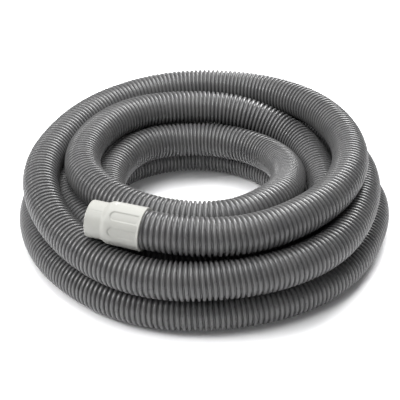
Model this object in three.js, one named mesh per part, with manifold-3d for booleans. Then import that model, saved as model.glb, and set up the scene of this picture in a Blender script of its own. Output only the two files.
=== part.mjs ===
// A pool vacuum hose: a ribbed plastic hose coiled in three layers, with a moulded cuff on each end.
// Millimetres, +Z up. The hose lies on z = 0 and the coil's middle is at x = y = 0.
import * as THREE from 'three';
import { mergeVertices } from 'three/addons/utils/BufferGeometryUtils.js';
import Module from 'manifold-3d';

const wasm = await Module();
wasm.setup();

// Hose: its radii are at the corners of its flat sides
const HOSE_RADIUS = 22.8;
const HOSE_BORE_RADIUS = 20.2;
const HOSE_SIDES = 12;
const BORE_SIDES = 8;
const INSERT_LENGTH = 37.2;

// Coil: the middle of the hose as [radius, height] every 30 degrees, anticlockwise seen from above.
// Each pair of lines is one turn, from the swivel cuff's mouth on top to the fixed cuff's on the ground.
const COIL_START = THREE.MathUtils.degToRad(250);
const STATION_ANGLE = THREE.MathUtils.degToRad(30);
const STEPS_PER_STATION = 2;
const GROUND_HEIGHT = 23;
const COIL = [
  [202, 115], [198, 110], [189, 109], [188, 110], [191, 110], [198, 110],
  [206, 106], [206, 105], [205, 101], [204, 97], [214, 90], [220, 75],

  [230, 69], [225, 69], [220, 69], [208, 69], [210, 68], [214, 68],
  [222, 63], [230, 61], [243, 38], [229, 23], [223, 23], [223, 23],

  [228, 23], [223, 23], [222, 23], [219, 23], [226, 23], [212, 23],
  [199, 23], [197, 28], [198, 35], [189, 53], [180, 59], [176, 62],

  [182, 67], [179, 67], [171, 67], [161, 67], [156, 67], [164, 74],
  [154, 93], [152, 99], [158, 102], [159, 102], [159, 102], [155, 104],

  [152, 103], [150, 103], [131, 99], [113, 85], [110, 74], [115, 65],
  [118, 63], [125, 62], [132, 64], [130, 61], [127, 61], [127, 63],

  [121, 65], [120, 65], [123, 50], [130, 33], [133, 23], [133, 23],
  [142, 23], [149, 23], [154, 23], [155, 23], [153, 23], [153, 23],

  [148, 25.2],
];

// Cuffs, measured from the mouth where the hose goes in
const CUFF_SEGMENTS = 32;
const NOSE_BORE_RADIUS = 19.3;
const NOSE_RADIUS = 22.2;
const NOSE_EDGE = 0.8;
const SHOULDER_EDGE = 1.7;
const SHOULDER_EDGE_DROP = 0.7;
const SHOULDER_LENGTH = 4.5;
const COLLAR_WIDTH = 1.2;
const COLLAR_SLOPE = 0.4;
const TOUCH_GAP = 0.3;
const SWIVEL_LENGTH = 69;
const SWIVEL_SKIRT_RADIUS = 25.8;
const SWIVEL_SKIRT_TAPER = 0.3;
const SWIVEL_SKIRT_LENGTH = 42.5;
const SWIVEL_SKIRT_BORE_RADIUS = 24.4;
const SWIVEL_SEAT = 41.1;
const SWIVEL_COLLAR = 0.7;
const LIP_HEIGHT = 0.4;
const LIP_WIDTH = 1.2;
const LIP_SLOPE = 1;
const FIXED_LENGTH = 67;
const FIXED_SKIRT_RADIUS = 25;
const FIXED_SKIRT_LENGTH = 40;
const THREAD_RADIUS = 23.1;
const FIXED_SEAT = 39.2;
const FIXED_COLLAR = 0.5;

// Bushing screwed on the hose end inside the swivel cuff
const BUSHING_RADIUS = 24.2;
const BUSHING_MOUTH = 1.7;
const BUSHING_LENGTH = 38.7;
const BUSHING_FLOOR = 1.2;

// Sealing washers
const SEAL_BORE_RADIUS = 19.7;
const SEAL_THICKNESS = 1.6;

// Finger grips sunk in the skirts
const GRIP_COUNT = 8;
const GRIP_WIDTH = 11.5;
const GRIP_START = 3;
const GRIP_END = 38.5;
const GRIP_DEPTH = 0.8;
const GRIP_CORNER = 1.5;
const GRIP_ARC_SEGMENTS = 6;
const GRIP_FIRST_ANGLE = THREE.MathUtils.degToRad(9.5);
const CUTTER_HEIGHT = 4;

const MERGE_DISTANCE = 1e-4;

const MATERIALS = {
  hose: { color: 0x6b6b6b, roughness: 0.42, metalness: 0 },
  cuff: { color: 0xd9d9d2, roughness: 0.45, metalness: 0 },
  bushing: { color: 0xc9c9c4, roughness: 0.5, metalness: 0 },
  seal: { color: 0x1c1c1c, roughness: 0.8, metalness: 0 },
};

function spline(a, b, c, d, t) {
  const linear = c - a;
  const square = 2 * a - 5 * b + 4 * c - d;
  const cube = 3 * b - a - 3 * c + d;
  return 0.5 * (2 * b + linear * t + square * t * t + cube * t * t * t);
}

function coilPoint(place) {
  const last = COIL.length - 1;
  const station = Math.min(Math.floor(place), last - 1);
  const t = place - station;
  const near = [-1, 0, 1, 2].map((step) => COIL[THREE.MathUtils.clamp(station + step, 0, last)]);
  const radius = spline(...near.map((entry) => entry[0]), t);
  const height = Math.max(spline(...near.map((entry) => entry[1]), t), GROUND_HEIGHT);
  const angle = COIL_START + STATION_ANGLE * place;
  return new THREE.Vector3(radius * Math.cos(angle), radius * Math.sin(angle), height);
}

// The mouth of a cuff and the way its nose points, straight on from the hose.
function hoseEnd(place, inner) {
  const mouth = coilPoint(place);
  const direction = mouth.clone().sub(coilPoint(inner)).normalize();
  return { mouth, direction };
}

const LAST_PLACE = COIL.length - 1;
const END_STEP = 0.001;
const swivelEnd = hoseEnd(0, END_STEP);
const fixedEnd = hoseEnd(LAST_PLACE, LAST_PLACE - END_STEP);

function alongEnd(end, distance) {
  return end.mouth.clone().addScaledVector(end.direction, distance);
}

// A curve through fixed points, so that the turns of the coil step at the same angles.
class PointPath extends THREE.Curve {
  constructor(points) {
    super();
    this.points = points;
  }

  getPoint(t, target = new THREE.Vector3()) {
    const place = t * (this.points.length - 1);
    const index = Math.min(Math.floor(place), this.points.length - 2);
    return target.lerpVectors(this.points[index], this.points[index + 1], place - index);
  }

  getPointAt(u, target) {
    return this.getPoint(u, target);
  }

  getTangentAt(u, target) {
    return this.getTangent(u, target);
  }
}

function hosePath() {
  const points = [alongEnd(swivelEnd, INSERT_LENGTH)];
  for (let step = 0; step <= LAST_PLACE * STEPS_PER_STATION; step += 1) {
    points.push(coilPoint(step / STEPS_PER_STATION));
  }
  points.push(alongEnd(fixedEnd, INSERT_LENGTH));
  return new PointPath(points);
}

function polygon(shape, radius, sides) {
  for (let side = 0; side < sides; side += 1) {
    const angle = (2 * Math.PI * side) / sides;
    const x = radius * Math.cos(angle);
    const y = radius * Math.sin(angle);
    if (side === 0) {
      shape.moveTo(x, y);
    } else {
      shape.lineTo(x, y);
    }
  }
  shape.closePath();
  return shape;
}

function makeHose() {
  const path = hosePath();
  const section = polygon(new THREE.Shape(), HOSE_RADIUS, HOSE_SIDES);
  section.holes.push(polygon(new THREE.Path(), HOSE_BORE_RADIUS, BORE_SIDES));
  return new THREE.ExtrudeGeometry(section, {
    steps: path.points.length - 1,
    extrudePath: path,
    curveSegments: 1,
  });
}

// A ring turned about +Y from a closed outline of [radius, distance from the mouth].
function turned(outline) {
  const loop = [...outline, outline[0]].map(([radius, distance]) => new THREE.Vector2(radius, distance));
  return new THREE.LatheGeometry(loop, CUFF_SEGMENTS);
}

// From a skirt's end down to the nose, with a low collar where the nose starts.
function shoulderOutline(skirtRadius, start, collar) {
  const collarStart = start + SHOULDER_LENGTH;
  return [
    [skirtRadius, start],
    [skirtRadius - SHOULDER_EDGE_DROP, start + SHOULDER_EDGE],
    [NOSE_RADIUS + collar, collarStart],
    [NOSE_RADIUS + collar, collarStart + COLLAR_WIDTH],
    [NOSE_RADIUS, collarStart + COLLAR_WIDTH + COLLAR_SLOPE],
  ];
}

function noseOutline(length) {
  return [
    [NOSE_RADIUS, length - NOSE_EDGE],
    [NOSE_RADIUS - NOSE_EDGE, length],
    [NOSE_BORE_RADIUS + NOSE_EDGE, length],
    [NOSE_BORE_RADIUS, length - NOSE_EDGE],
  ];
}

function swivelOutline() {
  return [
    [SWIVEL_SKIRT_RADIUS + LIP_HEIGHT, 0],
    [SWIVEL_SKIRT_RADIUS + LIP_HEIGHT, LIP_WIDTH],
    [SWIVEL_SKIRT_RADIUS, LIP_WIDTH + LIP_SLOPE],
    ...shoulderOutline(SWIVEL_SKIRT_RADIUS - SWIVEL_SKIRT_TAPER, SWIVEL_SKIRT_LENGTH, SWIVEL_COLLAR),
    ...noseOutline(SWIVEL_LENGTH),
    [NOSE_BORE_RADIUS, SWIVEL_SEAT],
    [SWIVEL_SKIRT_BORE_RADIUS, SWIVEL_SEAT],
    [SWIVEL_SKIRT_BORE_RADIUS, BUSHING_MOUTH - TOUCH_GAP],
    [THREAD_RADIUS + TOUCH_GAP, BUSHING_MOUTH - TOUCH_GAP],
    [THREAD_RADIUS + TOUCH_GAP, 0],
  ];
}

function fixedOutline() {
  return [
    [FIXED_SKIRT_RADIUS, 0],
    ...shoulderOutline(FIXED_SKIRT_RADIUS, FIXED_SKIRT_LENGTH, FIXED_COLLAR),
    ...noseOutline(FIXED_LENGTH),
    [NOSE_BORE_RADIUS, FIXED_SEAT],
    [THREAD_RADIUS, FIXED_SEAT],
    [THREAD_RADIUS, 0],
  ];
}

function makeBushing() {
  return turned([
    [BUSHING_RADIUS, BUSHING_MOUTH],
    [BUSHING_RADIUS, BUSHING_LENGTH],
    [SEAL_BORE_RADIUS, BUSHING_LENGTH],
    [SEAL_BORE_RADIUS, BUSHING_LENGTH - BUSHING_FLOOR],
    [THREAD_RADIUS, BUSHING_LENGTH - BUSHING_FLOOR],
    [THREAD_RADIUS, BUSHING_MOUTH],
  ]);
}

function makeSeal(outerRadius, seat) {
  const top = seat - TOUCH_GAP;
  return turned([
    [outerRadius, top - SEAL_THICKNESS],
    [outerRadius, top],
    [SEAL_BORE_RADIUS, top],
    [SEAL_BORE_RADIUS, top - SEAL_THICKNESS],
  ]);
}

function gripShape() {
  const half = GRIP_WIDTH / 2;
  const shape = new THREE.Shape();
  shape.moveTo(-half + GRIP_CORNER, GRIP_START);
  shape.lineTo(half - GRIP_CORNER, GRIP_START);
  shape.lineTo(half, GRIP_START + GRIP_CORNER);
  shape.lineTo(half, GRIP_END - half);
  shape.absarc(0, GRIP_END - half, half, 0, Math.PI, false);
  shape.lineTo(-half, GRIP_START + GRIP_CORNER);
  shape.closePath();
  return shape;
}

function gripCutters(skirtRadius) {
  const cutters = [];
  for (let grip = 0; grip < GRIP_COUNT; grip += 1) {
    const cutter = new THREE.ExtrudeGeometry(gripShape(), {
      depth: CUTTER_HEIGHT,
      bevelEnabled: false,
      curveSegments: GRIP_ARC_SEGMENTS,
    });
    cutter.translate(0, 0, skirtRadius - GRIP_DEPTH);
    cutter.rotateY(Math.PI / 2 + GRIP_FIRST_ANGLE + (2 * Math.PI * grip) / GRIP_COUNT);
    cutters.push(cutter);
  }
  return cutters;
}

function toSolid(geometry) {
  const bare = geometry.clone();
  bare.deleteAttribute('normal');
  bare.deleteAttribute('uv');
  const merged = mergeVertices(bare, MERGE_DISTANCE);
  return new wasm.Manifold(new wasm.Mesh({
    numProp: 3,
    vertProperties: new Float32Array(merged.attributes.position.array),
    triVerts: new Uint32Array(merged.index.array),
  }));
}

function toGeometry(solid) {
  const mesh = solid.getMesh();
  const geometry = new THREE.BufferGeometry();
  geometry.setAttribute('position', new THREE.BufferAttribute(mesh.vertProperties, 3));
  geometry.setIndex(new THREE.BufferAttribute(mesh.triVerts, 1));
  geometry.computeVertexNormals();
  return geometry;
}

function makeCuff(outline, skirtRadius) {
  let solid = toSolid(turned(outline));
  for (const cutter of gripCutters(skirtRadius)) {
    solid = solid.subtract(toSolid(cutter));
  }
  return toGeometry(solid);
}

// Local +Y runs from the mouth to the nose's end, and local +X is level, away from the coil's middle.
function placeOnEnd(mesh, end) {
  const away = new THREE.Vector3(end.direction.y, -end.direction.x, 0).normalize();
  if (away.dot(end.mouth) < 0) {
    away.negate();
  }
  const third = new THREE.Vector3().crossVectors(away, end.direction).normalize();
  const basis = new THREE.Matrix4().makeBasis(away, end.direction, third);
  mesh.quaternion.setFromRotationMatrix(basis);
  mesh.position.copy(end.mouth);
  return mesh;
}

function piece(name, geometry, material) {
  const mesh = new THREE.Mesh(geometry, new THREE.MeshStandardMaterial(MATERIALS[material]));
  mesh.name = name;
  return mesh;
}

const vacuumHose = new THREE.Group();
vacuumHose.add(piece('hose', makeHose(), 'hose'));

const swivelCuff = piece('swivel_cuff', makeCuff(swivelOutline(), SWIVEL_SKIRT_RADIUS), 'cuff');
const swivelBushing = piece('swivel_bushing', makeBushing(), 'bushing');
const swivelSeal = piece('swivel_seal', makeSeal(BUSHING_RADIUS - TOUCH_GAP, SWIVEL_SEAT), 'seal');
for (const mesh of [swivelCuff, swivelBushing, swivelSeal]) {
  vacuumHose.add(placeOnEnd(mesh, swivelEnd));
}

const fixedCuff = piece('fixed_cuff', makeCuff(fixedOutline(), FIXED_SKIRT_RADIUS), 'cuff');
const fixedSeal = piece('fixed_cuff_seal', makeSeal(THREAD_RADIUS - TOUCH_GAP, FIXED_SEAT), 'seal');
for (const mesh of [fixedCuff, fixedSeal]) {
  vacuumHose.add(placeOnEnd(mesh, fixedEnd));
}

export default vacuumHose;
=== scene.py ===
# A pool vacuum hose coiled in three layers, with a swivelling cuff on top and a fixed one underneath.
# Metres, +Z up, in the CAD model's own frame.
import math

import bmesh
import bpy
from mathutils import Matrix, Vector


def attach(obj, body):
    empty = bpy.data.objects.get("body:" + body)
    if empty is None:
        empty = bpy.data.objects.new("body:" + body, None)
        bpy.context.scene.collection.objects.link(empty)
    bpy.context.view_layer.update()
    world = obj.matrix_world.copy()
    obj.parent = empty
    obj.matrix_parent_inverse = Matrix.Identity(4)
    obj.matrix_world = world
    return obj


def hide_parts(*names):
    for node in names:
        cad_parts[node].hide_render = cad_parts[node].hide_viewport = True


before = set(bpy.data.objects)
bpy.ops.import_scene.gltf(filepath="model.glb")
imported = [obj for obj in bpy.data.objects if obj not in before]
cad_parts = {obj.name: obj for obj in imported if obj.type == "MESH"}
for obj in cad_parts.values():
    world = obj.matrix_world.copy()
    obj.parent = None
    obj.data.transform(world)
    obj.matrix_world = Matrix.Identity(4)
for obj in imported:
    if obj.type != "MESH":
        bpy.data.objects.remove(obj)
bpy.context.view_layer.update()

MM = 0.001

# Hose
BORE_RADIUS = 19 * MM
BORE_SHOWN = 60 * MM
INSERT_LENGTH = 37.2 * MM
RIB_PITCH = 6.05 * MM
# The sides round the hose, and also the steps along each rib: the spiral climbs a step for every side.
RIB_STEPS = 24
# One rib along the hose: its steps so far, and the radius there.
RIB_OUTLINE = (
    (0, 20.2 * MM),
    (1, 22.1 * MM),
    (3, 23.15 * MM),
    (6, 23.4 * MM),
    (11, 23.4 * MM),
    (14, 23.15 * MM),
    (16, 22.1 * MM),
    (17, 20.2 * MM),
)
CUT_RADIUS = 20.2 * MM
# How far before and after a place its direction is measured.
SECTION_REACH = 4 * MM

# Coil: the middle of the hose as (radius, height) every 30 degrees, anticlockwise seen from above.
# Each pair of lines is one turn, from the swivel cuff's mouth on top to the fixed cuff's on the ground.
# Two heights at the back of the third turn are 1 to 1.5 mm over the CAD hose's, so no light shows through.
COIL_START = math.radians(250)
STATION_ANGLE = math.radians(30)
STEPS_PER_STATION = 24
# The lowest that the middle of the hose lies, with the ribs' crests on the floor.
GROUND_HEIGHT = 0.0234
COIL = (
    (0.202, 0.115), (0.198, 0.110), (0.189, 0.109), (0.188, 0.110), (0.191, 0.110), (0.198, 0.110),
    (0.206, 0.106), (0.206, 0.105), (0.205, 0.101), (0.204, 0.097), (0.214, 0.090), (0.220, 0.075),

    (0.230, 0.069), (0.225, 0.069), (0.220, 0.069), (0.208, 0.069), (0.210, 0.068), (0.214, 0.068),
    (0.222, 0.063), (0.230, 0.061), (0.243, 0.038), (0.229, 0.023), (0.223, 0.023), (0.223, 0.023),

    (0.228, 0.023), (0.223, 0.023), (0.222, 0.023), (0.219, 0.023), (0.226, 0.023), (0.212, 0.023),
    (0.199, 0.0245), (0.197, 0.029), (0.198, 0.035), (0.189, 0.053), (0.180, 0.059), (0.176, 0.062),

    (0.182, 0.067), (0.179, 0.067), (0.171, 0.067), (0.161, 0.067), (0.156, 0.067), (0.164, 0.074),
    (0.154, 0.093), (0.152, 0.099), (0.158, 0.102), (0.159, 0.102), (0.159, 0.102), (0.155, 0.104),

    (0.152, 0.103), (0.150, 0.103), (0.131, 0.099), (0.113, 0.085), (0.110, 0.074), (0.115, 0.065),
    (0.118, 0.063), (0.125, 0.062), (0.132, 0.064), (0.130, 0.061), (0.127, 0.061), (0.127, 0.063),

    (0.121, 0.065), (0.120, 0.065), (0.123, 0.050), (0.130, 0.033), (0.133, 0.023), (0.133, 0.023),
    (0.142, 0.023), (0.149, 0.023), (0.154, 0.023), (0.155, 0.023), (0.153, 0.023), (0.153, 0.023),

    (0.148, 0.0252),
)
LAST_PLACE = len(COIL) - 1
END_STEP = 0.001

# Cuffs: distances are from the mouth, where the hose goes in, towards the nose
CUFF_SIDES = 256
ROUNDING_STEPS = 4
SKIRT_ROW = 0.8 * MM
NOSE_RADIUS = 22.2 * MM
NOSE_BORE_RADIUS = 19.3 * MM
NOSE_EDGE = 1.5 * MM
BORE_EDGE = 0.8 * MM
SMALL_EDGE = 0.4 * MM
SHOULDER_EDGE = 2.4 * MM
# A skirt's close rows stop this far before the shoulder's corner.
SHOULDER_ROOM = 3.2 * MM
NOSE_RING_RADIUS = 20.5 * MM
NOSE_RING_INNER_RADIUS = 20.3 * MM
GRIP_COUNT = 8
GRIP_WIDTH = 12.5 * MM
GRIP_DEPTH = 1.1 * MM
GRIP_WALL = 1.3 * MM
GRIP_END = 38.5 * MM
GRIP_START = 1.5 * MM
GRIP_FADE = 3 * MM
FIRST_GRIP = math.radians(9.5)
SEAM_ANGLE = math.radians(61)
SEAM_HALF_WIDTH = 0.8 * MM
SEAM_DEPTH = 0.4 * MM

# Swivel cuff
SWIVEL_LENGTH = 69 * MM
SWIVEL_LIP_RADIUS = 26.3 * MM
SWIVEL_LIP_END_RADIUS = 26.2 * MM
SWIVEL_LIP_WIDTH = 1.3 * MM
SWIVEL_MOUTH_EDGE = 0.3 * MM
SWIVEL_LIP_EDGE = 0.5 * MM
# A shallow groove round the face of the mouth.
SWIVEL_FACE_GROOVE = (0.5 * MM, 26 * MM)
SWIVEL_SKIRT_START = 2.6 * MM
SWIVEL_SKIRT_RADIUS = 25.8 * MM
SWIVEL_SHOULDER = (43.2 * MM, 25.5 * MM)
SWIVEL_COLLAR_START = (47.6 * MM, 22.9 * MM)
SWIVEL_COLLAR_END = (48.6 * MM, 22.8 * MM)
SWIVEL_NOSE_START = 49 * MM
SWIVEL_SEAT = 41.1 * MM
SWIVEL_SKIRT_BORE_RADIUS = 24.4 * MM
SWIVEL_MOUTH_RADIUS = 23.4 * MM
SWIVEL_MOUTH_DEPTH = 1.5 * MM
SWIVEL_FACE_RADIUS = 25.6 * MM

# Fixed cuff
FIXED_LENGTH = 67 * MM
FIXED_SKIRT_START = 1.5 * MM
FIXED_SKIRT_RADIUS = 25 * MM
FIXED_SHOULDER = (40.7 * MM, 25 * MM)
FIXED_COLLAR_START = (44.5 * MM, 22.7 * MM)
FIXED_COLLAR_END = (45.7 * MM, 22.7 * MM)
FIXED_NOSE_START = 46.1 * MM
FIXED_SEAT = 39.2 * MM
FIXED_BORE_RADIUS = 23.1 * MM
FIXED_FACE_RADIUS = 24.4 * MM
FIXED_FACE_INNER_RADIUS = 24.2 * MM

# Materials: a noise pattern spends most of its area between these two values.
NOISE_LOW = 0.3
NOISE_HIGH = 0.7
BLOTCH_DETAIL = 3
FINE_DETAIL = 2
GLOSS_SCALE = 3
GRAIN_STRENGTH = 0.5

# Camera
CAMERA_TARGET = Vector((-0.006, 0.0, 0.037))
CAMERA_DISTANCE = 1.49
CAMERA_ELEVATION = math.radians(32)
CAMERA_LENS = 100

# Floor and lights
FLOOR_SIZE = 8
FLOOR_COLOUR = (0.90, 0.90, 0.91)
FLOOR_GLOW = 0.07
FLOOR_ROUGHNESS = 0.9
FLOOR_SPECULAR = 0.1
SKY_COLOUR = (1.0, 1.0, 1.0)
SKY_STRENGTH = 0.08


def spline(a, b, c, d, t):
    """The value t of the way from b to c on a smooth curve through all four."""
    linear = c - a
    square = 2 * a - 5 * b + 4 * c - d
    cube = 3 * b - a - 3 * c + d
    return 0.5 * (2 * b + linear * t + square * t * t + cube * t * t * t)


def coil_point(place):
    """The middle of the hose, place stations of the coil from the swivel cuff's mouth."""
    station = min(int(place), LAST_PLACE - 1)
    t = place - station
    near = [COIL[min(max(station + step, 0), LAST_PLACE)] for step in (-1, 0, 1, 2)]
    radius = spline(*(entry[0] for entry in near), t)
    height = max(spline(*(entry[1] for entry in near), t), GROUND_HEIGHT)
    angle = COIL_START + STATION_ANGLE * place
    return Vector((radius * math.cos(angle), radius * math.sin(angle), height))


def hose_end(place, inner):
    """A cuff's mouth and the way its nose points, straight on from the hose."""
    mouth = coil_point(place)
    return mouth, (mouth - coil_point(inner)).normalized()


SWIVEL_END = hose_end(0, END_STEP)
FIXED_END = hose_end(LAST_PLACE, LAST_PLACE - END_STEP)


def middle_points():
    """Close points along the middle of the hose, from one cut end to the other."""
    points = [SWIVEL_END[0] + SWIVEL_END[1] * INSERT_LENGTH]
    points += [coil_point(step / STEPS_PER_STATION) for step in range(LAST_PLACE * STEPS_PER_STATION + 1)]
    points.append(FIXED_END[0] + FIXED_END[1] * INSERT_LENGTH)
    return points


class Line:
    """The middle of the hose, measured by distance along it."""

    def __init__(self, points):
        self.points = points
        self.marks = [0.0]
        for a, b in zip(points, points[1:]):
            self.marks.append(self.marks[-1] + (b - a).length)
        self.length = self.marks[-1]
        self.index = 0

    def at(self, distance):
        """The point at a distance. Distances come in order, so the search starts from the last answer."""
        while self.index > 0 and self.marks[self.index] > distance:
            self.index -= 1
        while self.index < len(self.points) - 2 and self.marks[self.index + 1] < distance:
            self.index += 1
        a, b = self.points[self.index], self.points[self.index + 1]
        span = self.marks[self.index + 1] - self.marks[self.index]
        return a.lerp(b, (distance - self.marks[self.index]) / span)

    def section(self, distance):
        """The point at a distance, and the level and the rising direction across the hose there."""
        along = (self.at(distance + SECTION_REACH) - self.at(distance - SECTION_REACH)).normalized()
        level = along.cross(Vector((0, 0, 1))).normalized()
        return self.at(distance), level, level.cross(along)


def mesh_object(name, points, faces, material):
    """A smooth-shaded piece with its faces turned outwards."""
    mesh = bpy.data.meshes.new(name)
    mesh.from_pydata([tuple(p) for p in points], [], faces)
    work = bmesh.new()
    work.from_mesh(mesh)
    bmesh.ops.recalc_face_normals(work, faces=work.faces)
    work.to_mesh(mesh)
    work.free()
    for polygon in mesh.polygons:
        polygon.use_smooth = True
    mesh.materials.append(material)
    made = bpy.data.objects.new(name, mesh)
    bpy.context.scene.collection.objects.link(made)
    return made


class RibbedHose:
    """The hose's surface: one spiral rib from cut end to cut end."""

    def __init__(self, line):
        step = RIB_PITCH / RIB_STEPS
        self.last = int(line.length / step)
        self.sections = [line.section(place * step) for place in range(self.last + 1)]
        ribs = self.last // RIB_STEPS + 3
        self.rows = [rib * RIB_STEPS + part for rib in range(ribs) for part, _ in RIB_OUTLINE]
        self.points = []
        self.spots = {}
        self.faces = []

    def point(self, place, side, radius):
        """A new point on one side of the hose, place steps along it."""
        middle, level, rising = self.sections[place]
        angle = math.tau * side / RIB_STEPS
        self.points.append(middle + (level * math.cos(angle) + rising * math.sin(angle)) * radius)
        return len(self.points) - 1

    def spot(self, row, side):
        """The point on a row of the rib, which drops back a step at each side and stops at the cut ends."""
        if side == RIB_STEPS:
            row, side = max(row - len(RIB_OUTLINE), 0), 0
        place = min(max(self.rows[row] - side, 0), self.last)
        cut = place in (0, self.last)
        key = (place, side) if cut else (row, side)
        if key not in self.spots:
            radius = CUT_RADIUS if cut else RIB_OUTLINE[row % len(RIB_OUTLINE)][1]
            self.spots[key] = self.point(place, side, radius)
        return self.spots[key]

    def add_face(self, *corners):
        corners = tuple(dict.fromkeys(corners))
        if len(corners) > 2:
            self.faces.append(corners)

    def add_ribs(self):
        for row in range(len(self.rows) - 1):
            for side in range(RIB_STEPS):
                self.add_face(
                    self.spot(row, side),
                    self.spot(row + 1, side),
                    self.spot(row + 1, side + 1),
                    self.spot(row, side + 1),
                )

    def add_bore(self, row, place, deep):
        """Closes a cut end with the start of the hose's bore."""
        rim = [self.spot(row, side) for side in range(RIB_STEPS)]
        mouth = [self.point(place, side, BORE_RADIUS) for side in range(RIB_STEPS)]
        floor = [self.point(deep, side, BORE_RADIUS) for side in range(RIB_STEPS)]
        for outer, inner in ((rim, mouth), (mouth, floor)):
            for side in range(RIB_STEPS):
                following = (side + 1) % RIB_STEPS
                self.add_face(outer[side], outer[following], inner[following], inner[side])
        self.add_face(*floor)

    def middle(self):
        """The middle of the hose, once for each rib and at the far cut end."""
        return [section[0] for section in self.sections[::RIB_STEPS]] + [self.sections[-1][0]]


def build_hose(line, material):
    hose = RibbedHose(line)
    hose.add_ribs()
    shown = int(BORE_SHOWN * RIB_STEPS / RIB_PITCH)
    hose.add_bore(0, 0, shown)
    hose.add_bore(len(hose.rows) - 1, hose.last, hose.last - shown)
    piece = mesh_object("ribbed_hose", hose.points, hose.faces, material)
    return piece, hose.middle()


def smooth_step(t):
    t = min(max(t, 0.0), 1.0)
    return t * t * (3 - 2 * t)


def rounded(corners):
    """An open outline of (distance, radius, cut) corners, each but the end ones turned into a short arc."""
    outline = [Vector(corners[0][:2])]
    for before, corner, after in zip(corners, corners[1:], corners[2:]):
        middle = Vector(corner[:2])
        start = middle + (Vector(before[:2]) - middle).normalized() * corner[2]
        end = middle + (Vector(after[:2]) - middle).normalized() * corner[2]
        steps = ROUNDING_STEPS if corner[2] else 0
        for step in range(steps + 1):
            t = step / max(steps, 1)
            outline.append(start.lerp(middle, t).lerp(middle.lerp(end, t), t))
    return outline + [Vector(corners[-1][:2])]


def skirt_rows(start, start_radius, end, end_radius):
    """Corners close together along a skirt, for its grips to be pressed into."""
    count = round((end - start) / SKIRT_ROW)
    return [
        (start + (end - start) * row / count, start_radius + (end_radius - start_radius) * row / count, 0)
        for row in range(count + 1)
    ]


def from_nearest(turn, spacing):
    """The angle from the nearest of several places evenly round a cuff."""
    return (turn + spacing / 2) % spacing - spacing / 2


def grip_depth(distance, radius, turn):
    """How deep a grip is at a place on a skirt. Grips are round at the shoulder and fade at the mouth."""
    across = from_nearest(turn - FIRST_GRIP, math.tau / GRIP_COUNT) * radius
    past = max(distance - (GRIP_END - GRIP_WIDTH / 2), 0.0)
    inside = GRIP_WIDTH / 2 - math.hypot(past, across)
    return GRIP_DEPTH * smooth_step(inside / GRIP_WALL) * smooth_step((distance - GRIP_START) / GRIP_FADE)


def seam_depth(radius, turn):
    """How deep the moulding line is at a place on a nose."""
    across = abs(from_nearest(turn - SEAM_ANGLE, math.pi)) * radius
    return SEAM_DEPTH * max(1 - across / SEAM_HALF_WIDTH, 0.0)


def turned(name, end, outside, inside, nose_start, material):
    """A cuff turned about its hose end, with its grips and moulding lines pressed into the outside."""
    mouth, way = end
    away = Vector((way.y, -way.x, 0)).normalized()
    away = away if away.dot(mouth) > 0 else -away
    third = away.cross(way)
    outline = outside + inside
    points = []
    for row, (distance, radius) in enumerate(outline):
        for side in range(CUFF_SIDES):
            turn = math.tau * side / CUFF_SIDES
            depth = 0.0
            if row < len(outside):
                seam = distance > nose_start
                depth = seam_depth(radius, turn) if seam else grip_depth(distance, radius, turn)
            across = away * math.cos(turn) - third * math.sin(turn)
            points.append(mouth + way * distance + across * (radius - depth))
    faces = []
    for row in range(len(outline)):
        below, above = row * CUFF_SIDES, (row + 1) % len(outline) * CUFF_SIDES
        for side in range(CUFF_SIDES):
            following = (side + 1) % CUFF_SIDES
            faces.append((below + side, below + following, above + following, above + side))
    return mesh_object(name, points, faces, material)


def nose_outside(shoulder, collar_start, collar_end, nose_start, length):
    """Corners from a skirt's shoulder, over the collar, to the flat ring at the nose's end."""
    return [
        (*shoulder, SHOULDER_EDGE),
        (*collar_start, SMALL_EDGE),
        (*collar_end, SMALL_EDGE),
        (nose_start, NOSE_RADIUS, SMALL_EDGE / 2),
        (length, NOSE_RADIUS, NOSE_EDGE),
        (length, NOSE_RING_RADIUS, 0),
    ]


def nose_inside(length, seat, skirt_bore_radius):
    """Corners from the nose's end through its bore, and out along the seat to the skirt's bore."""
    return [
        (length, NOSE_RING_INNER_RADIUS, 0),
        (length, NOSE_BORE_RADIUS, BORE_EDGE),
        (seat, NOSE_BORE_RADIUS, SMALL_EDGE),
        (seat, skirt_bore_radius, SMALL_EDGE),
    ]


def build_swivel_cuff(material):
    shoulder, shoulder_radius = SWIVEL_SHOULDER
    outside = rounded(
        [
            (*SWIVEL_FACE_GROOVE, 0),
            (0.0, SWIVEL_LIP_RADIUS, SWIVEL_MOUTH_EDGE),
            (SWIVEL_LIP_WIDTH, SWIVEL_LIP_END_RADIUS, SWIVEL_LIP_EDGE),
            *skirt_rows(SWIVEL_SKIRT_START, SWIVEL_SKIRT_RADIUS, shoulder - SHOULDER_ROOM, shoulder_radius),
            *nose_outside(
                SWIVEL_SHOULDER, SWIVEL_COLLAR_START, SWIVEL_COLLAR_END, SWIVEL_NOSE_START, SWIVEL_LENGTH
            ),
        ]
    )
    inside = rounded(
        [
            *nose_inside(SWIVEL_LENGTH, SWIVEL_SEAT, SWIVEL_SKIRT_BORE_RADIUS),
            (SWIVEL_MOUTH_DEPTH, SWIVEL_SKIRT_BORE_RADIUS, 0),
            (SWIVEL_MOUTH_DEPTH, SWIVEL_MOUTH_RADIUS, SMALL_EDGE / 2),
            (0.0, SWIVEL_MOUTH_RADIUS, SMALL_EDGE),
            (0.0, SWIVEL_FACE_RADIUS, 0),
        ]
    )
    return turned("swivel_cuff_shell", SWIVEL_END, outside, inside, SWIVEL_NOSE_START, material)


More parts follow.
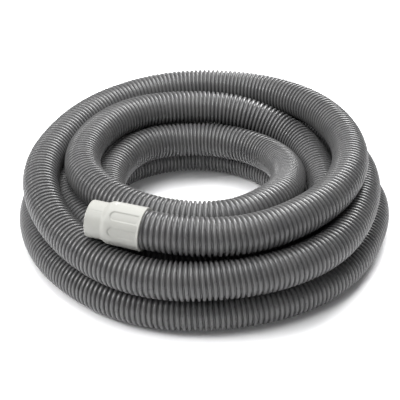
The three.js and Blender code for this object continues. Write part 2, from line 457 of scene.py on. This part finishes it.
def build_fixed_cuff(material):
    shoulder, shoulder_radius = FIXED_SHOULDER
    outside = rounded(
        [
            (0.0, FIXED_FACE_RADIUS, 0),
            (0.0, FIXED_SKIRT_RADIUS, SMALL_EDGE),
            *skirt_rows(FIXED_SKIRT_START, FIXED_SKIRT_RADIUS, shoulder - SHOULDER_ROOM, shoulder_radius),
            *nose_outside(
                FIXED_SHOULDER, FIXED_COLLAR_START, FIXED_COLLAR_END, FIXED_NOSE_START, FIXED_LENGTH
            ),
        ]
    )
    inside = rounded(
        [
            *nose_inside(FIXED_LENGTH, FIXED_SEAT, FIXED_BORE_RADIUS),
            (0.0, FIXED_BORE_RADIUS, SMALL_EDGE),
            (0.0, FIXED_FACE_INNER_RADIUS, 0),
        ]
    )
    return turned("fixed_cuff_shell", FIXED_END, outside, inside, FIXED_NOSE_START, material)


def noise(tree, scale, detail):
    """A noise pattern in the object's own metres."""
    places = tree.nodes.new("ShaderNodeTexCoord")
    pattern = tree.nodes.new("ShaderNodeTexNoise")
    pattern.inputs["Scale"].default_value = scale
    pattern.inputs["Detail"].default_value = detail
    tree.links.new(places.outputs["Object"], pattern.inputs["Vector"])
    return pattern.outputs["Fac"]


def between(tree, value, low, high):
    """A noise value spread between two numbers."""
    spread = tree.nodes.new("ShaderNodeMapRange")
    spread.inputs["From Min"].default_value = NOISE_LOW
    spread.inputs["From Max"].default_value = NOISE_HIGH
    spread.inputs["To Min"].default_value = low
    spread.inputs["To Max"].default_value = high
    tree.links.new(value, spread.inputs["Value"])
    return spread.outputs["Result"]


def moulded(name, dark, light, blotch_scale, gloss, grain_scale, grain_height):
    """A moulded plastic or rubber: two close shades in soft blotches, uneven gloss and a fine grain."""
    material = bpy.data.materials.new(name)
    material.use_nodes = True
    tree = material.node_tree
    shader = tree.nodes["Principled BSDF"]

    ramp = tree.nodes.new("ShaderNodeValToRGB")
    ramp.color_ramp.elements[0].position = NOISE_LOW
    ramp.color_ramp.elements[0].color = (*dark, 1)
    ramp.color_ramp.elements[1].position = NOISE_HIGH
    ramp.color_ramp.elements[1].color = (*light, 1)
    tree.links.new(noise(tree, blotch_scale, BLOTCH_DETAIL), ramp.inputs["Fac"])
    tree.links.new(ramp.outputs["Color"], shader.inputs["Base Color"])

    uneven = between(tree, noise(tree, blotch_scale * GLOSS_SCALE, FINE_DETAIL), *gloss)
    tree.links.new(uneven, shader.inputs["Roughness"])

    bump = tree.nodes.new("ShaderNodeBump")
    bump.inputs["Strength"].default_value = GRAIN_STRENGTH
    bump.inputs["Distance"].default_value = grain_height
    tree.links.new(noise(tree, grain_scale, FINE_DETAIL), bump.inputs["Height"])
    tree.links.new(bump.outputs["Normal"], shader.inputs["Normal"])
    return material


def add_camera():
    camera = bpy.data.objects.new("camera", bpy.data.cameras.new("camera"))
    camera.data.lens = CAMERA_LENS
    across, up = math.cos(CAMERA_ELEVATION), math.sin(CAMERA_ELEVATION)
    camera.location = CAMERA_TARGET + Vector((0, -across, up)) * CAMERA_DISTANCE
    camera.rotation_euler = (CAMERA_TARGET - camera.location).to_track_quat("-Z", "Y").to_euler()
    bpy.context.scene.collection.objects.link(camera)
    bpy.context.scene.camera = camera


def add_floor():
    half = FLOOR_SIZE / 2
    corners = [(-half, -half, 0), (half, -half, 0), (half, half, 0), (-half, half, 0)]
    material = bpy.data.materials.new("floor_card")
    material.use_nodes = True
    shader = material.node_tree.nodes["Principled BSDF"]
    shader.inputs["Base Color"].default_value = (*FLOOR_COLOUR, 1)
    shader.inputs["Emission Color"].default_value = (*FLOOR_COLOUR, 1)
    shader.inputs["Emission Strength"].default_value = FLOOR_GLOW
    shader.inputs["Roughness"].default_value = FLOOR_ROUGHNESS
    shader.inputs["Specular IOR Level"].default_value = FLOOR_SPECULAR
    card = mesh_object("floor", corners, [(0, 1, 2, 3)], material)
    return card


def add_softbox(name, turn, rise, distance, size, power):
    """A square area light that faces the coil, turned to the right from the camera's side, in degrees."""
    light = bpy.data.lights.new(name, "AREA")
    light.size = size
    light.energy = power
    softbox = bpy.data.objects.new(name, light)
    turn, rise = math.radians(turn), math.radians(rise)
    across = math.cos(rise)
    softbox.location = Vector((math.sin(turn) * across, -math.cos(turn) * across, math.sin(rise))) * distance
    softbox.rotation_euler = (CAMERA_TARGET - softbox.location).to_track_quat("-Z", "Y").to_euler()
    bpy.context.scene.collection.objects.link(softbox)
    return softbox


def light_only(softbox, lit):
    """The softbox lights one object only, though everything shades it."""
    group = bpy.data.collections.new(softbox.name + "_lit")
    group.objects.link(lit)
    softbox.light_linking.receiver_collection = group


def add_sky():
    world = bpy.data.worlds.new("studio")
    world.use_nodes = True
    background = world.node_tree.nodes["Background"]
    background.inputs["Color"].default_value = (*SKY_COLOUR, 1)
    background.inputs["Strength"].default_value = SKY_STRENGTH
    bpy.context.scene.world = world


add_camera()

hose_plastic = moulded(
    "grey_hose_plastic",
    dark=(0.096, 0.096, 0.098),
    light=(0.114, 0.113, 0.113),
    blotch_scale=45,
    gloss=(0.26, 0.36),
    grain_scale=500,
    grain_height=0.015 * MM,
)
cuff_plastic = moulded(
    "off_white_cuff_plastic",
    dark=(0.35, 0.35, 0.325),
    light=(0.385, 0.385, 0.36),
    blotch_scale=30,
    gloss=(0.42, 0.52),
    grain_scale=900,
    grain_height=0.04 * MM,
)
bushing_plastic = moulded(
    "light_grey_bushing_plastic",
    dark=(0.29, 0.29, 0.28),
    light=(0.33, 0.33, 0.32),
    blotch_scale=60,
    gloss=(0.40, 0.50),
    grain_scale=900,
    grain_height=0.04 * MM,
)
seal_rubber = moulded(
    "black_seal_rubber",
    dark=(0.012, 0.012, 0.013),
    light=(0.022, 0.022, 0.023),
    blotch_scale=90,
    gloss=(0.60, 0.75),
    grain_scale=1200,
    grain_height=0.05 * MM,
)

hose, hose_middle = build_hose(Line(middle_points()), hose_plastic)
swivel_cuff = build_swivel_cuff(cuff_plastic)
fixed_cuff = build_fixed_cuff(cuff_plastic)

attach(hose, "hose")
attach(fixed_cuff, "hose")
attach(swivel_cuff, "swivel_cuff")
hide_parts("hose")
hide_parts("fixed_cuff")
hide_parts("swivel_cuff")

for node, material in (
    ("swivel_bushing", bushing_plastic),
    ("swivel_seal", seal_rubber),
    ("fixed_cuff_seal", seal_rubber),
):
    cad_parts[node].data.materials.clear()
    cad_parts[node].data.materials.append(material)

floor = add_floor()
add_sky()
add_softbox("overhead", turn=-100, rise=83, distance=1.2, size=0.8, power=13)
add_softbox("left", turn=-78, rise=40, distance=2.4, size=0.8, power=38)
add_softbox("right", turn=150, rise=38, distance=2.4, size=1.2, power=76)
add_softbox("front_top", turn=-32, rise=56, distance=2.4, size=0.8, power=9)
floor_light = add_softbox("floor_light", turn=0, rise=90, distance=2.4, size=1.6, power=28)
light_only(floor_light, floor)
bpy.context.scene.view_settings.view_transform = "Standard"
